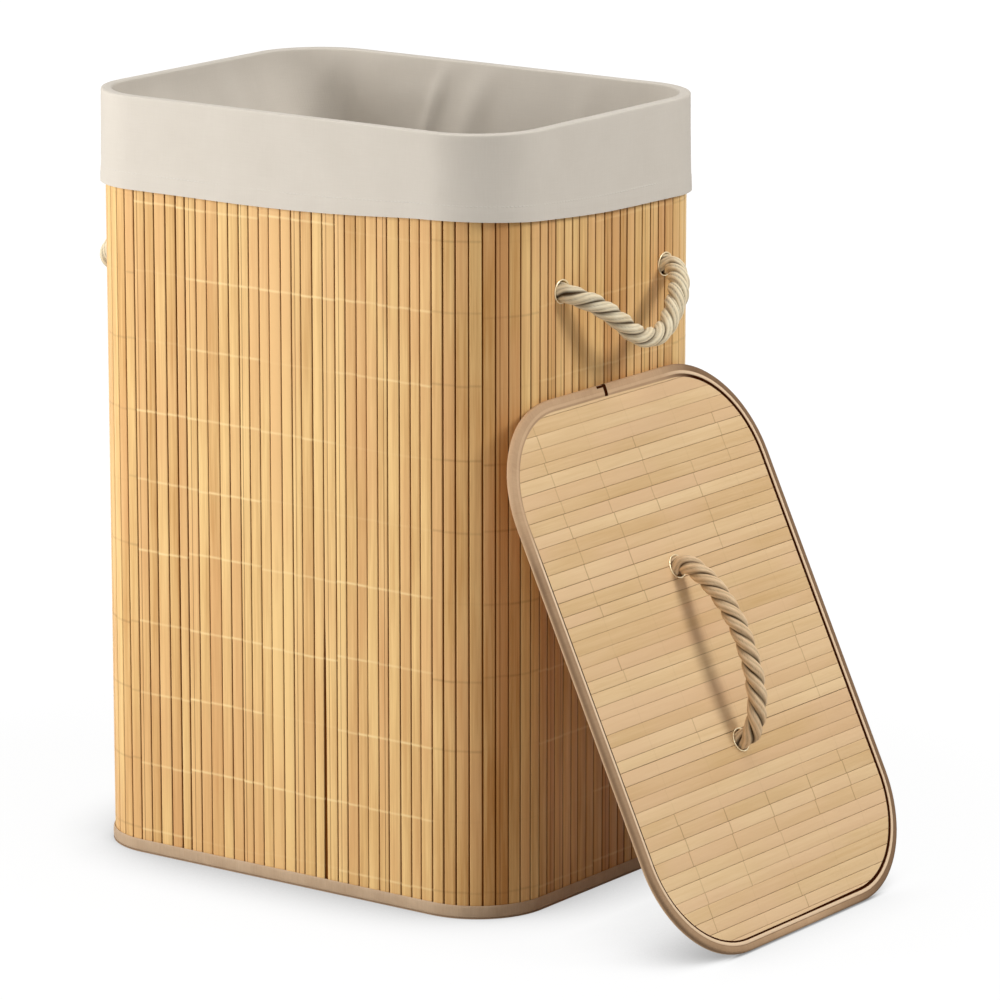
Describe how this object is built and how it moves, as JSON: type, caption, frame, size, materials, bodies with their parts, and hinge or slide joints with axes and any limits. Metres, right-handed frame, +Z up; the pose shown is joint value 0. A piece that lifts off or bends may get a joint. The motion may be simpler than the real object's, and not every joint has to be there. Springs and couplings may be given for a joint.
{
  "type": "laundry hamper with lid",
  "caption": "Rounded box hamper of upright bamboo slats with a cloth liner folded over the rim, rope handles at the sides and a loose slatted lid with a rope handle leaning on it.",
  "frame": {"origin": "on the floor, at the middle of the hamper's base, on the underside of its base cloth", "axes": "+Z up through the mouth, -Y out of the long front face, +X out of the narrow side that the lid leans on"},
  "size_m": [0.6343, 0.327, 0.6],
  "materials": {
    "bamboo_slat": "smooth bamboo slats, satin",
    "lid_bamboo": "pale bamboo slats, satin",
    "backing_cloth": "brown woven backing",
    "liner_cloth": "greige cotton blend, plain weave",
    "binding_tape": "taupe woven tape",
    "panel_board": "fibreboard",
    "hoop_steel": "drawn wire",
    "eyelet_brass": "pale antique brass",
    "rope": "twisted cream cotton rope"
  },
  "bodies": {
    "basket": {"front_slats": "bamboo_slat", "right_slats": "bamboo_slat", "back_slats": "bamboo_slat", "left_slats": "bamboo_slat", "front_right_corner_slats": "bamboo_slat", "back_right_corner_slats": "bamboo_slat", "back_left_corner_slats": "bamboo_slat", "front_left_corner_slats": "bamboo_slat", "wall_backing": "backing_cloth", "wall_seam_tape": "backing_cloth", "base_cloth": "backing_cloth", "base_board": "panel_board", "bottom_binding": "binding_tape", "top_binding": "binding_tape", "rim_hoop": "hoop_steel", "right_eyelets": "eyelet_brass", "left_eyelets": "eyelet_brass", "right_eyelet_washers": "eyelet_brass", "left_eyelet_washers": "eyelet_brass", "right_handle_knots": "rope", "left_handle_knots": "rope"},
    "liner": {"liner_sides": "liner_cloth", "liner_bottom": "liner_cloth"},
    "lid": {"lid_slats": "lid_bamboo", "lid_lining": "backing_cloth", "lid_board": "panel_board", "lid_binding": "binding_tape", "lid_eyelets": "eyelet_brass", "lid_eyelet_washers": "eyelet_brass", "lid_handle_knots": "rope"},
    "right_handle": {"right_handle_rope": "rope"},
    "left_handle": {"left_handle_rope": "rope"},
    "lid_handle": {"lid_handle_rope": "rope"}
  },
  "joints": [
    {"name": "liner_lift", "type": "slide", "parent": "basket", "child": "liner", "axis": [0, 0, 1], "range_m": [0, 0.62]},
    {"name": "lid_lift", "type": "slide", "parent": "basket", "child": "lid", "axis": [0.9048, 0, 0.4258], "range_m": [0, 0.45]},
    {"name": "right_handle_swing", "type": "hinge", "parent": "basket", "child": "right_handle", "pos_m": [0.2095, 0.0082, 0.474], "axis": [0, -1, 0], "range_deg": [0, 105]},
    {"name": "left_handle_swing", "type": "hinge", "parent": "basket", "child": "left_handle", "pos_m": [-0.2095, -0.0082, 0.474], "axis": [0, 1, 0], "range_deg": [0, 105]},
    {"name": "lid_handle_swing", "type": "hinge", "parent": "lid", "child": "lid_handle", "pos_m": [0.30569, -0.0035, 0.20278], "axis": [-0.4258, 0, 0.9048], "range_deg": [-80, 80]}
  ]
}
